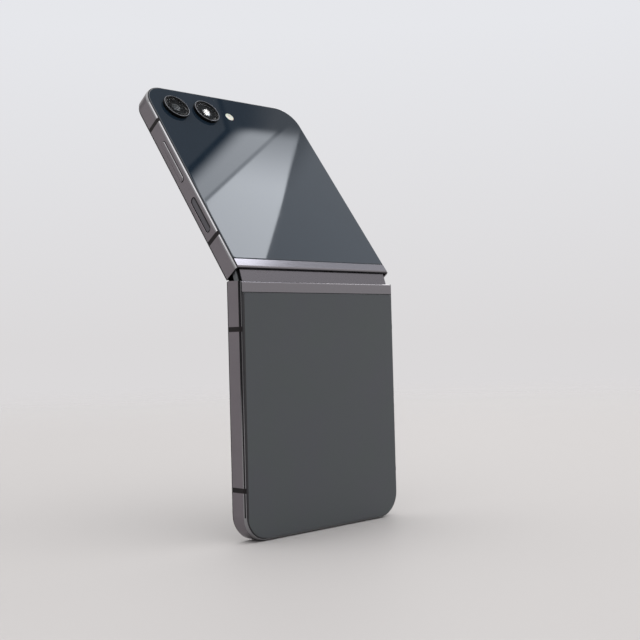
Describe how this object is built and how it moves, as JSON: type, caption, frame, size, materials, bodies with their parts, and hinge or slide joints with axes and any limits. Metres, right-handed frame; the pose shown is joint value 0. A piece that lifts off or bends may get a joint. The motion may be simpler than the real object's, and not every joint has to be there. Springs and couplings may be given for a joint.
{
  "type": "foldable_smartphone",
  "caption": "Half-open clamshell smartphone with grey metal rails, satin lower back, black glass cover with two round cameras, and a folding screen",
  "frame": {"origin": "middle of the lower half's outer face, on the outer surface of its back glass", "axes": "+X to the right seen from the outer side, +Y from the outer face through the phone towards the folding screen, +Z along the lower half towards the fold"},
  "size_m": [0.0723, 0.0549, 0.1524],
  "materials": {
    "anodised_rail": "bead-blasted and anodised aluminium, mauve grey",
    "machined_plate": "machined aluminium, bare",
    "satin_glass": "chemically etched back glass over a grey film",
    "cover_glass": "polished cover glass, near black",
    "lens_glass": "coated lens cover glass",
    "band_resin": "moulded antenna band resin",
    "gasket_foam": "black adhesive sealing gasket",
    "bezel_polymer": "moulded black bezel",
    "stop_rubber": "small rubber stops",
    "fold_screen": "folding screen, off, glossy film",
    "panel_black": "cover screen panel, off",
    "hinge_steel": "sintered and machined steel",
    "gear_brass": "sintered gears",
    "shield_steel": "stamped steel cans",
    "battery_wrap": "pouch cell with a black wrap",
    "coil_copper": "flat wound copper coil",
    "ferrite_sheet": "ferrite sheet",
    "board_laminate": "solder-masked glass-epoxy board",
    "polyimide_flex": "polyimide flat cable",
    "black_polymer": "moulded black polymer",
    "magnet_nickel": "nickel-plated magnet",
    "screw_steel": "black-zinc steel screws",
    "ring_metal": "turned and anodised dark aluminium",
    "flash_diffuser": "moulded translucent diffuser",
    "led_phosphor": "phosphor-coated light",
    "key_dark": "dark anodised aluminium"
  },
  "bodies": {
    "lower_half": {"lower_frame": "anodised_rail", "lower_antenna_bands": "band_resin", "lower_back_glass": "satin_glass", "lower_glass_gasket": "gasket_foam", "lower_hinge_strip": "anodised_rail", "lower_hinge_plate": "machined_plate", "lower_hinge_arms": "hinge_steel", "lower_battery": "battery_wrap", "charging_coil": "coil_copper", "coil_shield": "ferrite_sheet", "usb_board": "board_laminate", "usb_socket": "shield_steel", "usb_tongue": "black_polymer", "loudspeaker": "black_polymer", "speaker_mesh": "screw_steel", "vibration_motor": "shield_steel", "bottom_microphone": "shield_steel", "lower_flex": "polyimide_flex", "lower_screws": "screw_steel", "lower_magnets": "magnet_nickel", "lower_screen": "fold_screen", "lower_bezel": "bezel_polymer", "bezel_stops": "stop_rubber"},
    "spine": {"spine_cover": "anodised_rail", "spine_end_caps": "machined_plate", "hinge_brackets": "hinge_steel", "screen_fold": "fold_screen", "fold_flex": "polyimide_flex"},
    "upper_half": {"upper_frame": "anodised_rail", "upper_antenna_bands": "band_resin", "cover_glass": "cover_glass", "upper_glass_gasket": "gasket_foam", "cover_screen": "panel_black", "upper_hinge_strip": "anodised_rail", "upper_hinge_plate": "machined_plate", "upper_hinge_arms": "hinge_steel", "upper_battery": "battery_wrap", "main_board": "board_laminate", "shield_cans": "shield_steel", "card_socket": "shield_steel", "camera_modules": "black_polymer", "camera_rings": "ring_metal", "lens_windows": "lens_glass", "flash_window": "flash_diffuser", "flash_led": "led_phosphor", "selfie_camera": "black_polymer", "earpiece": "black_polymer", "key_switches": "polyimide_flex", "upper_flex": "polyimide_flex", "upper_screws": "screw_steel", "upper_magnets": "magnet_nickel", "upper_screen": "fold_screen", "upper_bezel": "bezel_polymer"},
    "lower_shaft_gear": {"lower_shaft_gears": "gear_brass"},
    "lower_idler_gear": {"lower_idler_gears": "gear_brass"},
    "upper_idler_gear": {"upper_idler_gears": "gear_brass"},
    "upper_shaft_gear": {"upper_shaft_gears": "gear_brass"},
    "volume_button": {"volume_key": "anodised_rail"},
    "side_button": {"side_key": "key_dark"},
    "tray": {"card_tray": "anodised_rail"}
  },
  "joints": [
    {"name": "lower_fold", "type": "hinge", "parent": "lower_half", "child": "spine", "pos_m": [0, 0.0055, 0.03923], "axis": [-1, 0, 0], "range_deg": [-18, 72], "deforming": ["screen_fold", "fold_flex"]},
    {"name": "upper_fold", "type": "hinge", "parent": "spine", "child": "upper_half", "pos_m": [0, 0.00677, 0.04312], "axis": [-1, 0, 0], "range_deg": [-18, 72], "deforming": ["screen_fold", "fold_flex"]},
    {"name": "lower_shaft_gear_spin", "type": "hinge", "parent": "spine", "child": "lower_shaft_gear", "pos_m": [0, 0.00352, 0.0395], "axis": [-1, 0, 0], "range_deg": [-252.5, 63.5]},
    {"name": "lower_idler_gear_spin", "type": "hinge", "parent": "spine", "child": "lower_idler_gear", "pos_m": [0, 0.00401, 0.04102], "axis": [-1, 0, 0], "range_deg": [-63.5, 252.5]},
    {"name": "upper_idler_gear_spin", "type": "hinge", "parent": "spine", "child": "upper_idler_gear", "pos_m": [0, 0.00451, 0.04254], "axis": [-1, 0, 0], "range_deg": [-252.5, 63.5]},
    {"name": "upper_shaft_gear_spin", "type": "hinge", "parent": "spine", "child": "upper_shaft_gear", "pos_m": [0, 0.005, 0.04407], "axis": [-1, 0, 0], "range_deg": [-63.5, 252.5]},
    {"name": "volume_press", "type": "slide", "parent": "upper_half", "child": "volume_button", "axis": [1, 0, 0], "range_m": [0, 0.00025], "stiffness_N_per_m": 1000},
    {"name": "side_press", "type": "slide", "parent": "upper_half", "child": "side_button", "axis": [1, 0, 0], "range_m": [0, 0.00025], "stiffness_N_per_m": 1000},
    {"name": "tray_slide", "type": "slide", "parent": "upper_half", "child": "tray", "axis": [1, 0, 0], "range_m": [0, 0.016]}
  ],
  "couplings": [
    {"joint": "upper_fold", "follows": "lower_fold", "ratio": 1},
    {"joint": "lower_shaft_gear_spin", "follows": "lower_fold", "ratio": -3.5},
    {"joint": "lower_idler_gear_spin", "follows": "lower_fold", "ratio": 3.5},
    {"joint": "upper_idler_gear_spin", "follows": "lower_fold", "ratio": -3.5},
    {"joint": "upper_shaft_gear_spin", "follows": "lower_fold", "ratio": 3.5}
  ]
}
